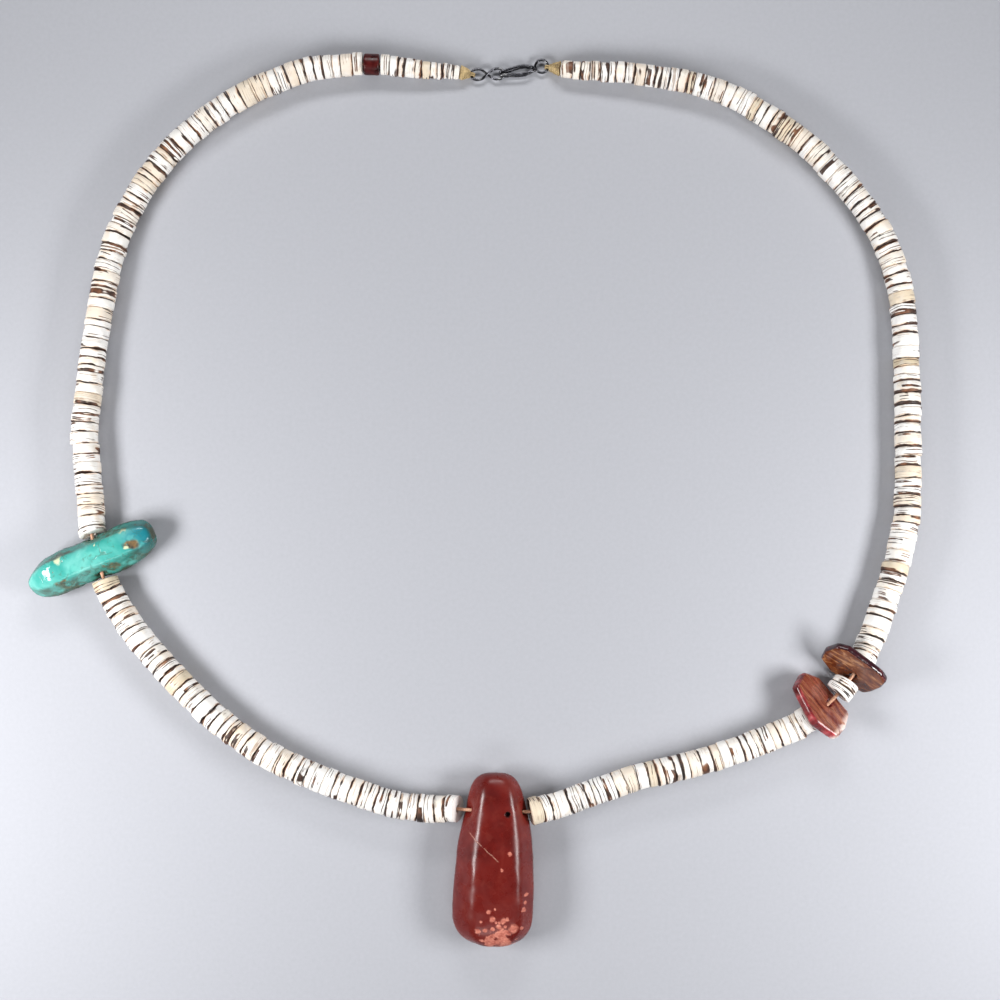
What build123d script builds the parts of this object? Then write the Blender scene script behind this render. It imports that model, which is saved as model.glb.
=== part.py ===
from build123d import *
import math
import os
import random

# A heishi bead necklace lying closed on a flat surface, as one loop.
# Millimetres, +Z up. The clasp is towards +Y and the pendant towards -Y.

# Shell discs
bead_diameter = 7.5
bead_bore = 2.25
bead_gap = 0.12
bead_pitch = 2.68
fine_pitch = 1.95
bead_seat = 0.2
disc_wobble = math.radians(1.6)
disc_size_spread = 0.03
disc_side_play = 0.2
disc_thickness_low = 0.68
disc_thickness_high = 1.34
bead_seed = 11

# Thread, and the turns that its straight runs leave room for
thread_diameter = 0.9
thread_clearance = 0.1
bend_share = 0.45

# Red tubular bead
red_bead_diameter = 5.7
red_bead_length = 4.3
red_bead_rim = 0.5

# Pendant
pendant_length = 47.5
pendant_width = 24.7
pendant_thickness = 11.5
pendant_hole_drop = 10.4
pendant_hole_height = 5.5
pendant_shift = -1.2
pendant_turn = 1.0
pendant_bare_thread = 0.35
pendant_front_hole = 1.3
pendant_front_hole_depth = 2.2
pendant_front_hole_side = 3.5
pendant_front_hole_drop = 10.3

# Turquoise nugget
nugget_length = 36.8
nugget_width = 12.8
nugget_height = 10.5
nugget_hole_height = 5.2
nugget_turn = 95.7
nugget_shift = -1.6

# Shell tabs
red_tab_length = 18.5
red_tab_height = 13.2
red_tab_thickness = 3.0
red_tab_lean = -45.0
brown_tab_length = 18.3
brown_tab_height = 12.7
brown_tab_thickness = 2.2
brown_tab_lean = 34.0
tab_hole_height = 4.9
tab_corner = 1.4
tab_rim_share = 0.32
stone_bore = 2.0

# Clasp wire, eye and hook
# The hook passes round the eye's wire at the clasp's middle
clasp_middle_x = 1.0
clasp_middle_y = 118.0
wire_diameter = 0.68
wire_clearance = 0.12
eye_height = 1.15
eye_loop_length = 4.4
eye_loop_width = 3.6
wire_seam = 0.05
eye_turn = 2.0
hook_length = 8.6
hook_spread = 2.3
hook_turn = 9.0
hook_bend_spread = 0.86
hook_bend_room = 0.2
ring_diameter = 4.2
ring_height = 1.0
ring_side = 0.4
ring_corners = 8
solder_diameter = 1.25
solder_length = 1.2
solder_rounding = 0.3

# Bound thread ends
wrap_wide = 3.2
wrap_narrow = 2.0
wrap_loop_thread = 0.42
wrap_loop_gap = 0.2
wrap_loop_spacing = 0.54
wrap_loop_root = 0.5
wrap_left_length = 2.3
wrap_right_length = 2.5
wrap_cap = 0.6
clasp_thread_height = 1.3

# Share of the string from the left end, share of the disc diameter
BEAD_TAPER = (
    (0.000, 0.46),
    (0.010, 0.55),
    (0.020, 0.66),
    (0.040, 0.78),
    (0.060, 0.86),
    (0.090, 0.90),
    (0.160, 0.92),
    (0.240, 0.97),
    (0.340, 0.99),
    (0.480, 1.00),
    (0.560, 0.97),
    (0.680, 0.98),
    (0.800, 0.94),
    (0.900, 0.88),
    (0.950, 0.81),
    (0.975, 0.73),
    (0.990, 0.64),
    (1.000, 0.57),
)

# The chosen points of the string: X, Y, and what sets the height there.
# A piece on the string sits on the run between two points of its own name.
# The string's two ends come from the clasp.
ROUTE = [
    (-13.4, 118.3, "bead"),
    (-21.0, 118.7, "bead"),
    (-30.0, 119.9, "red_bead"),
    (-40.7, 120.1, "red_bead"),
    (-52.3, 118.8, "bead"),
    (-64.9, 114.3, "bead"),
    (-77.0, 107.7, "bead"),
    (-88.0, 98.9, "bead"),
    (-96.8, 88.6, "bead"),
    (-104.2, 75.6, "bead"),
    (-107.8, 64.1, "bead"),
    (-111.5, 42.5, "bead"),
    (-114.5, 19.5, "bead"),
    (-113.0, 6.0, "bead"),
    (-112.4, -3.8, "bead"),
    (-111.8, -10.7, "turquoise_nugget"),
    (-108.7, -21.2, "turquoise_nugget"),
    (-107.0, -26.1, "bead"),
    (-100.1, -36.9, "bead"),
    (-88.8, -49.8, "bead"),
    (-76.5, -61.7, "bead"),
    (-63.3, -70.7, "bead"),
    (-48.1, -77.4, "bead"),
    (-33.0, -82.8, "bead"),
    (-22.0, -85.0, "bead"),
    (-14.3, -84.7, "bead"),
    (-8.5, -84.8, "pendant"),
    (8.2, -85.4, "pendant"),
    (14.6, -84.4, "bead"),
    (24.8, -80.6, "bead"),
    (36.3, -76.5, "bead"),
    (52.3, -72.7, "bead"),
    (66.0, -68.8, "bead"),
    (82.6, -61.9, "bead"),
    (86.5, -58.8, "red_shell_tab"),
    (91.1, -54.9, "red_shell_tab"),
    (95.7, -49.5, "brown_shell_tab"),
    (99.0, -44.7, "brown_shell_tab"),
    (101.4, -39.8, "bead"),
    (104.9, -30.8, "bead"),
    (109.2, -17.5, "bead"),
    (112.0, -5.0, "bead"),
    (112.3, 10.0, "bead"),
    (111.9, 32.0, "bead"),
    (111.4, 49.0, "bead"),
    (109.6, 60.5, "bead"),
    (106.2, 70.7, "bead"),
    (100.7, 80.0, "bead"),
    (93.0, 89.1, "bead"),
    (84.2, 98.2, "bead"),
    (73.7, 105.6, "bead"),
    (62.7, 111.9, "bead"),
    (50.9, 115.6, "bead"),
    (36.0, 117.6, "bead"),
    (22.0, 118.5, "bead"),
    (17.6, 118.9, "bead"),
]

# Name, piece before, piece after, disc pitch, clear thread before and after
STRINGS = (
    ("heishi_top_left", "cord_wrap_left", "red_bead", fine_pitch, bead_seat, bead_seat),
    ("heishi_left", "red_bead", "turquoise_nugget", bead_pitch, bead_seat, bead_seat),
    (
        "heishi_lower_left",
        "turquoise_nugget",
        "pendant",
        bead_pitch,
        bead_seat,
        pendant_bare_thread,
    ),
    ("heishi_lower_right", "pendant", "red_shell_tab", bead_pitch, bead_seat, bead_seat),
    (
        "heishi_between_tabs",
        "red_shell_tab",
        "brown_shell_tab",
        bead_pitch,
        bead_seat,
        bead_seat,
    ),
    ("heishi_right", "brown_shell_tab", "cord_wrap_right", bead_pitch, bead_seat, bead_seat),
)

# Share of a string's discs, and the lean there in degrees: the tops go forward
DISC_LEANS = {
    "heishi_top_left": ((0.0, 0), (1.0, 0)),
    "heishi_left": ((0.0, 0), (0.3, -1), (0.5, -6), (1.0, -6)),
    "heishi_lower_left": ((0.0, -11), (0.1, -9), (0.5, -8), (0.9, 0), (1.0, -10)),
    "heishi_lower_right": ((0.0, 3), (0.5, 5), (0.8, 0), (1.0, -8)),
    "heishi_between_tabs": ((0.0, 4), (1.0, 11)),
    "heishi_right": ((0.0, 11), (0.25, 8), (0.5, 6), (1.0, 0)),
}
# Share of a string of discs, degrees its faces turn to lie along a stone's side
DISC_TURNS = {
    "heishi_top_left": ((0.0, 0), (1.0, 0)),
    "heishi_left": ((0.0, 0), (0.96, 0), (1.0, -15)),
    "heishi_lower_left": ((0.0, 0), (1.0, 0)),
    "heishi_lower_right": ((0.0, -8), (0.1, 0), (1.0, 0)),
    "heishi_between_tabs": ((0.0, 0), (1.0, 0)),
    "heishi_right": ((0.0, 0), (1.0, 0)),
}

# Share of the length from the top, half widths left and right as shares of
# half the width, and lowest and highest point as shares of the thickness
PENDANT_SECTIONS = (
    (0.000, 0.30, 0.28, 0.30, 0.56),
    (0.020, 0.45, 0.43, 0.20, 0.67),
    (0.050, 0.55, 0.54, 0.11, 0.76),
    (0.107, 0.63, 0.64, 0.04, 0.84),
    (0.185, 0.70, 0.74, 0.01, 0.89),
    (0.265, 0.77, 0.82, 0.00, 0.93),
    (0.355, 0.86, 0.89, 0.00, 0.96),
    (0.446, 0.93, 0.93, 0.00, 0.98),
    (0.540, 0.96, 0.96, 0.00, 1.00),
    (0.638, 0.99, 0.97, 0.00, 1.00),
    (0.735, 1.01, 0.98, 0.00, 0.99),
    (0.825, 1.02, 0.97, 0.00, 0.96),
    (0.904, 0.94, 0.92, 0.02, 0.90),
    (0.955, 0.77, 0.76, 0.07, 0.80),
    (0.985, 0.52, 0.52, 0.15, 0.68),
    (1.000, 0.32, 0.32, 0.25, 0.56),
)

# Across as a share of the half width, up as a share of the height
PENDANT_PROFILE = ((-0.72, 0.0), (0.72, 0.0), (1.0, 0.40), (0.56, 1.0), (-0.44, 1.0), (-1.0, 0.40))

# The same columns, from the nugget's left end to its right end
NUGGET_SECTIONS = (
    (0.000, 0.42, 0.20, 0.28, 0.60),
    (0.025, 0.62, 0.41, 0.16, 0.70),
    (0.075, 0.80, 0.63, 0.08, 0.80),
    (0.150, 0.91, 0.85, 0.03, 0.92),
    (0.250, 0.93, 0.95, 0.00, 1.00),
    (0.350, 0.92, 0.98, 0.00, 1.00),
    (0.450, 0.89, 0.97, 0.00, 0.98),
    (0.560, 0.91, 0.97, 0.00, 0.97),
    (0.660, 0.94, 1.00, 0.00, 0.96),
    (0.760, 0.89, 1.03, 0.01, 0.95),
    (0.850, 0.80, 1.03, 0.03, 0.91),
    (0.915, 0.68, 0.96, 0.07, 0.86),
    (0.965, 0.47, 0.84, 0.14, 0.79),
    (1.000, 0.20, 0.48, 0.26, 0.66),
)
NUGGET_PROFILE = ((-0.70, 0.0), (0.70, 0.0), (1.0, 0.45), (0.55, 1.0), (-0.35, 0.97), (-1.0, 0.38))
profile_round_share = 0.30

# Corners of a tab's broad face: shares of its length either side of the hole
# towards the outside of the loop, and of its height above the surface
RED_TAB_OUTLINE = (
    (-0.35, 0.0),
    (-0.59, 0.27),
    (-0.56, 0.71),
    (-0.17, 0.93),
    (0.0, 1.0),
    (0.20, 0.91),
    (0.41, 0.79),
    (0.43, 0.40),
    (0.36, 0.0),
)
BROWN_TAB_OUTLINE = (
    (-0.26, 0.0),
    (-0.52, 0.19),
    (-0.58, 0.50),
    (-0.52, 0.85),
    (-0.37, 1.0),
    (0.07, 0.97),
    (0.26, 0.93),
    (0.39, 0.82),
    (0.42, 0.55),
    (0.39, 0.21),
    (0.33, 0.0),
)

# One loop of the eye: shares of the loop's length and of half its width
EYE_LOOP = ((0.40, 1.0), (0.80, 1.0), (1.0, 0.62), (1.0, -0.62), (0.80, -1.0), (0.40, -1.0))

# The hook's doubled wire from its base, under the eye's wire and back over
# it: share of the hook's length, share of half the spread, tier
HOOK_WIRE = (
    (1.00, 0.35, 0.35),
    (0.84, 0.70, 0.0),
    (0.66, 1.00, 0.05),
    (0.40, 0.84, 0.0),
    (0.22, 0.60, 0.0),
)
HOOK_FOLD = (
    (0.18, 0.62, 1.0),
    (0.42, 0.92, 1.0),
    (0.70, 0.98, 1.0),
    (0.95, 0.42, 0.9),
)


def between(table, share):
    """The value of a two-column table at a share, along straight lines."""
    for (low, first), (high, second) in zip(table, table[1:]):
        if share <= high:
            return first + (second - first) * (max(share, low) - low) / (high - low)
    return table[-1][1]


def bead_radius(share):
    """Nominal disc radius at a share of the string."""
    return bead_diameter / 2 * between(BEAD_TAPER, share)


HEIGHTS = {
    "clasp": clasp_thread_height,
    "turquoise_nugget": nugget_hole_height,
    "pendant": pendant_hole_height,
    "red_shell_tab": tab_hole_height,
    "brown_shell_tab": tab_hole_height,
}

# Where the hook's bend passes under and over the eye's wire
wire_step = wire_diameter + wire_clearance
wrap_loop_radius = wire_diameter / 2 + wrap_loop_gap + wrap_loop_thread / 2
wrap_reach = wire_diameter / 2 + wire_clearance

clasp_middle = Vector(clasp_middle_x, clasp_middle_y, 0)
eye_direction = Vector(1, 0, 0).rotate(Axis.Z, eye_turn)
hook_direction = Vector(1, 0, 0).rotate(Axis.Z, hook_turn)
eye_crossing = clasp_middle - eye_direction * eye_loop_length
eye_far_end = eye_crossing - eye_direction * eye_loop_length
ring_radius = (ring_diameter - wire_diameter) / 2
hook_base = clasp_middle + hook_direction * hook_length
ring_reach = Vector(ring_diameter / 2, 0, 0).rotate(Axis.Z, hook_turn) + Vector(0, ring_side, 0)
ring_direction = ring_reach.normalized()
ring_centre = hook_base + ring_reach + Vector(0, 0, ring_height)


def string_ends():
    """The thread's two ends, each inside the wrap that ties it to the clasp."""
    first = Vector(ROUTE[0][0], ROUTE[0][1], 0)
    last = Vector(ROUTE[-1][0], ROUTE[-1][1], 0)
    ring_middle = Vector(ring_centre.X, ring_centre.Y, 0)
    left_way = (first - eye_far_end).normalized()
    right_way = (last - ring_middle).normalized()
    left = eye_far_end + left_way * (wrap_reach + wrap_cap)
    right = ring_middle + right_way * (ring_radius + wrap_reach + wrap_cap)
    return left, right


def route_rows():
    """The chosen points with the string's two ends."""
    left, right = string_ends()
    return [(left.X, left.Y, "clasp"), *ROUTE, (right.X, right.Y, "clasp")]


def ring_spot():
    """The middle of the ring's wire on the string's side."""
    end = string_ends()[1]
    flat = Vector(end.X - ring_centre.X, end.Y - ring_centre.Y, 0).normalized()
    return ring_centre + flat * ring_radius


def route_points(rows):
    """The route in space: discs rest on the surface, drilled stones set their own height."""
    reach = [0.0]
    for (x, y, _), (next_x, next_y, _) in zip(rows, rows[1:]):
        reach.append(reach[-1] + math.hypot(next_x - x, next_y - y))
    placed = []
    for (x, y, name), distance in zip(rows, reach):
        height = HEIGHTS.get(name, bead_radius(distance / reach[-1]))
        placed.append(Vector(x, y, height))
    return placed


def bend_radii(corners):
    """One radius for each corner, as large as its two runs allow."""
    radii = []
    for before, corner, after in zip(corners, corners[1:], corners[2:]):
        half_turn = math.radians((corner - before).get_angle(after - corner)) / 2
        shorter = min((corner - before).length, (after - corner).length)
        radii.append(bend_share * shorter / math.tan(half_turn))
    return radii


def wire_path(corners):
    """Straight runs joined by tangent arcs."""
    return FilletPolyline(*corners, radius=bend_radii(corners))


def round_wire(corners, diameter):
    """A round wire or thread along a path."""
    path = wire_path(corners)
    start = Plane(origin=path @ 0, z_dir=path % 0)
    return sweep(start * Circle(diameter / 2), path=path).solid()


rows = route_rows()
points = route_points(rows)
string_path = wire_path(points)
string_length = string_path.length


def run_middles():
    """Length along the string of the middle of each run between route points."""
    radii = bend_radii(points)
    middles = []
    station = 0.0
    trim_before = 0.0
    for index, (start, end) in enumerate(zip(points, points[1:])):
        run = (end - start).length
        middles.append(station + run / 2 - trim_before)
        if index == len(radii):
            break
        turn = math.radians((end - start).get_angle(points[index + 2] - end))
        trim = radii[index] * math.tan(turn / 2)
        station += run - trim_before - trim + radii[index] * turn
        trim_before = trim
    return middles


stations = {"cord_wrap_left": 0.0, "cord_wrap_right": string_length}
runs = {}
for index, middle in enumerate(run_middles()):
    piece = rows[index][2]
    if piece == rows[index + 1][2] and piece not in ("bead", "clasp"):
        stations[piece] = middle
        runs[piece] = (points[index], points[index + 1])


def place(station):
    """Point and direction of the string at a length along it."""
    point = string_path.position_at(station, PositionMode.LENGTH)
    direction = string_path.derivative_at(station, 1, PositionMode.LENGTH)
    return point, direction.normalized()


def drill(solid, name, diameter):
    """A straight hole for the thread through a piece that sits on a run."""
    start, end = runs[name]
    along = (end - start).normalized()
    length = (end - start).length + bead_diameter * 4
    middle = (start + end) / 2
    entry = Plane(origin=middle - along * (length / 2), z_dir=along)
    return (solid - Solid.make_cylinder(diameter / 2, length, entry)).solid()


def stone_section(row, length, width, height, profile):
    """One rounded cross-section of a stone that lies along its own X axis."""
    share, first, second, low, high = row
    corners = []
    for across, up in profile:
        half = width / 2 * (first if across < 0 else second)
        corners.append((across * half, height * (low + (high - low) * up)))
    outline = make_face(Polyline(*corners, close=True))
    rounding = profile_round_share * min(width / 2 * min(first, second), height * (high - low))
    outline = fillet(outline.vertices(), rounding)
    return Plane(origin=(length * share, 0, 0), x_dir=(0, 1, 0), z_dir=(1, 0, 0)) * outline


def stone(sections, length, width, height, profile):
    """A polished stone lofted through its cross-sections."""
    return loft([stone_section(row, length, width, height, profile) for row in sections]).solid()


def run_plane(name, turn):
    """The surface under a piece, with X along its hole, turned about the hole's middle."""
    start, end = runs[name]
    along = Vector(end.X - start.X, end.Y - start.Y, 0).normalized()
    middle = (start + end) / 2
    base = Plane(origin=(middle.X, middle.Y, 0), x_dir=along, z_dir=(0, 0, 1))
    return base * Rot(0, 0, turn)


def make_pendant():
    """A tapered stone with its top towards the clasp, drilled across."""
    blank = stone(
        PENDANT_SECTIONS, pendant_length, pendant_width, pendant_thickness, PENDANT_PROFILE
    )
    front_hole = Pos(
        pendant_front_hole_drop,
        pendant_front_hole_side,
        pendant_thickness - pendant_front_hole_depth,
    ) * Cylinder(
        pendant_front_hole / 2,
        pendant_front_hole_depth * 2,
        align=(Align.CENTER, Align.CENTER, Align.MIN),
    )
    blank = (blank - front_hole).solid()
    seat = run_plane("pendant", pendant_turn) * Pos(pendant_shift, 0, 0) * Rot(0, 0, -90)
    return drill(seat * Pos(-pendant_hole_drop, 0, 0) * blank, "pendant", stone_bore)


def make_nugget():
    """A long pebble lying across the string."""
    blank = stone(NUGGET_SECTIONS, nugget_length, nugget_width, nugget_height, NUGGET_PROFILE)
    seat = run_plane("turquoise_nugget", nugget_turn)
    shift = nugget_shift - nugget_length / 2
    return drill(seat * Pos(shift, 0, 0) * blank, "turquoise_nugget", stone_bore)


def make_tab(name, outline, length, height, thickness, lean):
    """A tab standing on the surface and leaning along the string."""
    start, end = runs[name]
    middle = (start + end) / 2
    along = Vector(end.X - start.X, end.Y - start.Y, 0).normalized()
    tilt = math.radians(lean)
    normal = along * -math.cos(tilt) + Vector(0, 0, math.sin(tilt))
    outward = Vector(along.Y, -along.X, 0)
    foot = (middle.Z - thickness / 2 * abs(math.sin(tilt))) / math.cos(tilt)
    corners = [(share * length, up * height - foot) for share, up in outline]
    face = make_face(Polyline(*corners, close=True))
    face = fillet(face.vertices(), tab_corner)
    plate = extrude(face, thickness / 2, both=True)
    broad = plate.faces().sort_by(Axis.Z)
    plate = fillet(broad[0].edges() + broad[-1].edges(), thickness * tab_rim_share)
    seat = Plane(origin=middle, x_dir=outward, z_dir=normal)
    return drill(seat * plate.solid(), name, stone_bore)


def make_red_bead():
    """A drilled tube with rounded ends."""
    start, end = runs["red_bead"]
    tube = Cylinder(red_bead_diameter / 2, red_bead_length)
    tube = fillet(tube.edges().filter_by(GeomType.CIRCLE), red_bead_rim)
    tube -= Cylinder(bead_bore / 2, red_bead_length * 2)
    middle = (start + end) / 2
    seat = Plane(
        origin=(middle.X, middle.Y, red_bead_diameter / 2), z_dir=(end - start).normalized()
    )
    return (seat * tube).solid()


def make_eye():
    """A figure of eight bent from one wire, its ends meeting under the crossing."""
    half_width = (eye_loop_width - wire_diameter) / 2
    right = [(x * eye_loop_length, -y * half_width, eye_height) for x, y in EYE_LOOP]
    left = [(-x, y, z) for x, y, z in right]
    seam = wire_seam / math.hypot(right[0][0], right[0][1])
    under = eye_height - wire_step / 2
    start = (right[0][0] * seam, right[0][1] * seam, under)
    finish = (-start[0], -start[1], under)
    over = (0, 0, eye_height + wire_step / 2)
    route = [start, *right, over, *left, finish]
    frame = Plane(origin=eye_crossing, x_dir=eye_direction, z_dir=(0, 0, 1))
    return round_wire([frame.from_local_coords(Vector(*spot)) for spot in route], wire_diameter)


def make_ring():
    """A ring bent from wire, its ends meeting on the hook's side."""
    corner_radius = ring_radius / math.cos(math.pi / ring_corners)
    turns = [(index + 0.5) * math.tau / ring_corners for index in range(ring_corners)]
    bends = [(corner_radius * math.cos(a), corner_radius * math.sin(a)) for a in turns]
    route = [(ring_radius, wire_seam / 2), *bends, (ring_radius, -wire_seam / 2)]
    frame = Plane(origin=ring_centre, x_dir=ring_direction * -1, z_dir=(0, 0, 1))
    return round_wire([frame.from_local_coords(Vector(x, y, 0)) for x, y in route], wire_diameter)


def make_hook():
    """A doubled wire round the eye, with a ring soldered to its base."""
    low = eye_height - wire_step
    span = 2 * wire_step
    frame = Plane(origin=clasp_middle, x_dir=hook_direction, z_dir=(0, 0, 1))

    def spots(table, sign):
        return [
            Vector(share * hook_length, sign * side * hook_spread / 2, low + tier * span)
            for share, side, tier in table
        ]

    def arm(sign):
        bend = sign * hook_bend_spread / 2
        reach = -wire_step - hook_bend_room
        turn = [Vector(reach, bend, low), Vector(reach, bend, low + span)]
        return [*spots(HOOK_WIRE, sign), *turn, *spots(HOOK_FOLD, sign)]

    route = [*arm(1), *reversed(arm(-1))]
    wire = round_wire([frame.from_local_coords(spot) for spot in route], wire_diameter)
    ring_end = ring_centre - ring_direction * ring_radius
    middle = (hook_base + ring_end) / 2
    solder = Cylinder(solder_diameter / 2, solder_length)
    solder = fillet(solder.edges().filter_by(GeomType.CIRCLE), solder_rounding)
    seat = Plane(origin=(middle.X, middle.Y, (low + ring_height) / 2), z_dir=hook_direction)
    return (wire + seat * solder + make_ring()).solid()


def make_wrap(wire_spot, thread_end, towards, length):
    """A bound end: a tapered barrel on the thread, and two loops round a wire."""
    along = (towards - thread_end).normalized()
    cap = thread_end - along * wrap_cap
    barrel = Solid.make_cone(
        wrap_narrow / 2, wrap_wide / 2, length + wrap_cap, Plane(origin=cap, z_dir=along)
    )
    flat = Vector(along.X, along.Y, 0).normalized()
    frame = Plane(origin=wire_spot, x_dir=flat, z_dir=(0, 0, 1))
    root = wrap_reach + wrap_loop_root
    wrap = barrel
    for side in (-wrap_loop_spacing / 2, wrap_loop_spacing / 2):
        spots = [
            (root, side, wrap_loop_radius),
            (-wrap_loop_radius, side, wrap_loop_radius),
            (-wrap_loop_radius, side, -wrap_loop_radius),
            (root, side, -wrap_loop_radius),
        ]
        corners = [frame.from_local_coords(Vector(*spot)) for spot in spots]
        wrap += round_wire(corners, wrap_loop_thread)
    bore = Solid.make_cylinder(
        thread_diameter / 2 + thread_clearance,
        length + bead_diameter,
        Plane(origin=thread_end - along * thread_clearance, z_dir=along),
    )
    return (wrap - bore).solid()


def leaning(tangent, lean, yaw):
    """The direction of a face that leans along the string and turns a little on it."""
    side = Vector(tangent.Y, -tangent.X, 0).normalized()
    up = side.cross(tangent)
    return (tangent - up * math.tan(lean) + side * math.tan(yaw)).normalized()


def face_directions(name, spots, dice):
    """Directions of the faces between the discs of a string, each a little off."""
    normals = []
    for index, (_, tangent) in enumerate(spots):
        share = index / (len(spots) - 1)
        lean = math.radians(between(DISC_LEANS[name], share))
        lean += dice.uniform(-disc_wobble, disc_wobble)
        yaw = math.radians(between(DISC_TURNS[name], share))
        yaw += dice.uniform(-disc_wobble, disc_wobble)
        normals.append(leaning(tangent, lean, yaw))
    return normals


def disc(low_point, low_normal, high_point, high_normal, radius, side_play):
    """One drilled shell disc between two faces, resting on the surface or on the thread."""
    axis = (low_normal + high_normal).normalized()
    middle = (low_point + high_point) / 2
    thickness = (high_point - low_point).length - bead_gap
    steep = abs(axis.Z)
    rest = radius * math.sqrt(1 - steep**2) + thickness / 2 * steep
    lean = math.radians(axis.get_angle(high_point - low_point))
    slack = (bead_bore - thread_diameter) / 2 - thread_clearance
    slack = max(0.0, slack - math.tan(lean) * thickness / 2)
    height = max(rest, middle.Z - slack)
    room = math.sqrt(max(0.0, slack**2 - (middle.Z - height) ** 2))
    side = Vector(axis.Y, -axis.X, 0).normalized()
    reach = thickness + bead_diameter
    centre = Vector(middle.X, middle.Y, height) + side * max(-room, min(room, side_play))
    base = Plane(origin=centre - axis * (reach / 2), z_dir=axis)
    blank = Solid.make_cylinder(radius, reach, base)
    blank = (blank - Solid.make_cylinder(bead_bore / 2, reach, base)).solid()
    low_face = Plane(origin=low_point + low_normal * (bead_gap / 2), z_dir=low_normal)
    high_face = Plane(origin=high_point - high_normal * (bead_gap / 2), z_dir=high_normal)
    blank = blank.split(low_face, keep=Keep.TOP)
    return blank.split(high_face, keep=Keep.BOTTOM).solid()


def end_station(near, far, solids, stand, lean, yaw):
    """How close to a piece the string's nearest disc can come."""
    station = (stations[near] + stations[far]) / 2
    step = 1 if stations[near] > stations[far] else -1
    for _ in range(12):
        point, tangent = place(station)
        face = Plane(origin=point, z_dir=leaning(tangent, lean, yaw))
        probe = Solid.make_cylinder(bead_radius(station / string_length), bead_gap, face)
        spare = probe.distance_to(solids[near]) - stand
        station += step * spare
        if abs(spare) < bead_gap / 5:
            break
    return station


def make_string(name, before, after, pitch, stands, solids):
    """All the discs of one stretch of the string."""
    start, finish = (
        end_station(
            near,
            far,
            solids,
            stand,
            math.radians(DISC_LEANS[name][row][1]),
            math.radians(DISC_TURNS[name][row][1]),
        )
        for near, far, stand, row in ((before, after, stands[0], 0), (after, before, stands[1], -1))
    )
    dice = random.Random(f"{bead_seed} {name}")
    count = max(1, round((finish - start) / pitch))
    weights = []
    for index in range(count):
        share = (start + (finish - start) * (index + 0.5) / count) / string_length
        spread = dice.uniform(disc_thickness_low, disc_thickness_high)
        weights.append(spread * (1 + between(BEAD_TAPER, share)))
    marks = [start]
    for weight in weights:
        marks.append(marks[-1] + weight / sum(weights) * (finish - start))
    spots = [place(mark) for mark in marks]
    normals = face_directions(name, spots, dice)
    discs = []
    for index in range(count):
        share = (marks[index] + marks[index + 1]) / 2 / string_length
        radius = bead_radius(share) * (1 + dice.uniform(-disc_size_spread, disc_size_spread))
        play = dice.uniform(-disc_side_play, disc_side_play)
        low, high = spots[index][0], spots[index + 1][0]
        discs.append(disc(low, normals[index], high, normals[index + 1], radius, play))
    return Compound(discs)


def build():
    """Every piece of the necklace by name, where the string's points put it."""
    solids = {
        "clasp_eye": make_eye(),
        "clasp_hook": make_hook(),
        "cord_wrap_left": make_wrap(
            eye_far_end + Vector(0, 0, eye_height), points[0], points[1], wrap_left_length
        ),
        "cord_wrap_right": make_wrap(ring_spot(), points[-1], points[-2], wrap_right_length),
        "thread": round_wire(points, thread_diameter),
        "red_bead": make_red_bead(),
        "turquoise_nugget": make_nugget(),
        "pendant": make_pendant(),
        "red_shell_tab": make_tab(
            "red_shell_tab",
            RED_TAB_OUTLINE,
            red_tab_length,
            red_tab_height,
            red_tab_thickness,
            red_tab_lean,
        ),
        "brown_shell_tab": make_tab(
            "brown_shell_tab",
            BROWN_TAB_OUTLINE,
            brown_tab_length,
            brown_tab_height,
            brown_tab_thickness,
            brown_tab_lean,
        ),
    }
    for name, before, after, pitch, *stands in STRINGS:
        solids[name] = make_string(name, before, after, pitch, stands, solids)
    return solids


def main():
    """Writes each piece, with the origin under the middle of the whole."""
    solids = build()
    box = Compound(list(solids.values())).bounding_box()
    shift = Pos(-box.center().X, -box.center().Y, -box.min.Z)
    os.makedirs("parts", exist_ok=True)
    for name, solid in solids.items():
        export_step(shift * solid, f"parts/{name}.step")
    section = math.pi * (thread_diameter / 2) ** 2
    print("string radii", [round(radius, 1) for radius in bend_radii(points)])
    print("string length", round(string_length, 1), "size", box.size, "centre", box.center())
    print("lowest", {name: round(solid.bounding_box().min.Z, 2) for name, solid in solids.items()})
    print("thread volume", solids["thread"].volume, "of", section * string_length)
    print("discs", {name: len(solids[name].solids()) for name, *_ in STRINGS})


if __name__ == "__main__":
    main()
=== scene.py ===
import math
import random

import bmesh
import bpy
import numpy
from mathutils import Matrix, Vector, noise


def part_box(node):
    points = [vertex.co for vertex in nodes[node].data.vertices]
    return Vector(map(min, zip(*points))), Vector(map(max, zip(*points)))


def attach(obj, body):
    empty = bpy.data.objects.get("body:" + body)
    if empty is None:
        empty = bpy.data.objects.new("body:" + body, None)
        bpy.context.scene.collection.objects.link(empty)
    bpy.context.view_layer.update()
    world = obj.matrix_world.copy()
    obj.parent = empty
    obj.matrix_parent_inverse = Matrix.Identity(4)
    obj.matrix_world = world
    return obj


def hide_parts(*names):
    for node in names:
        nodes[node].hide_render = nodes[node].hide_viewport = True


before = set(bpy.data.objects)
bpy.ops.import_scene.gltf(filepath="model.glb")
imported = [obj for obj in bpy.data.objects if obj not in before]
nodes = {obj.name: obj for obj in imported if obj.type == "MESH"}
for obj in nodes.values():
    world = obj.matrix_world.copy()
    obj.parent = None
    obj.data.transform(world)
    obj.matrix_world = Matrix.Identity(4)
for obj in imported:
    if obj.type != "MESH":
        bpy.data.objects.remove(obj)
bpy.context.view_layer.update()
mm = 0.001

# Where the photograph's middle lies on the model, and how high the camera stands
view_middle = Vector((6.651, -0.488, 3.72)) * mm
view_height = 375 * mm
view_width = 275 * mm

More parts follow.
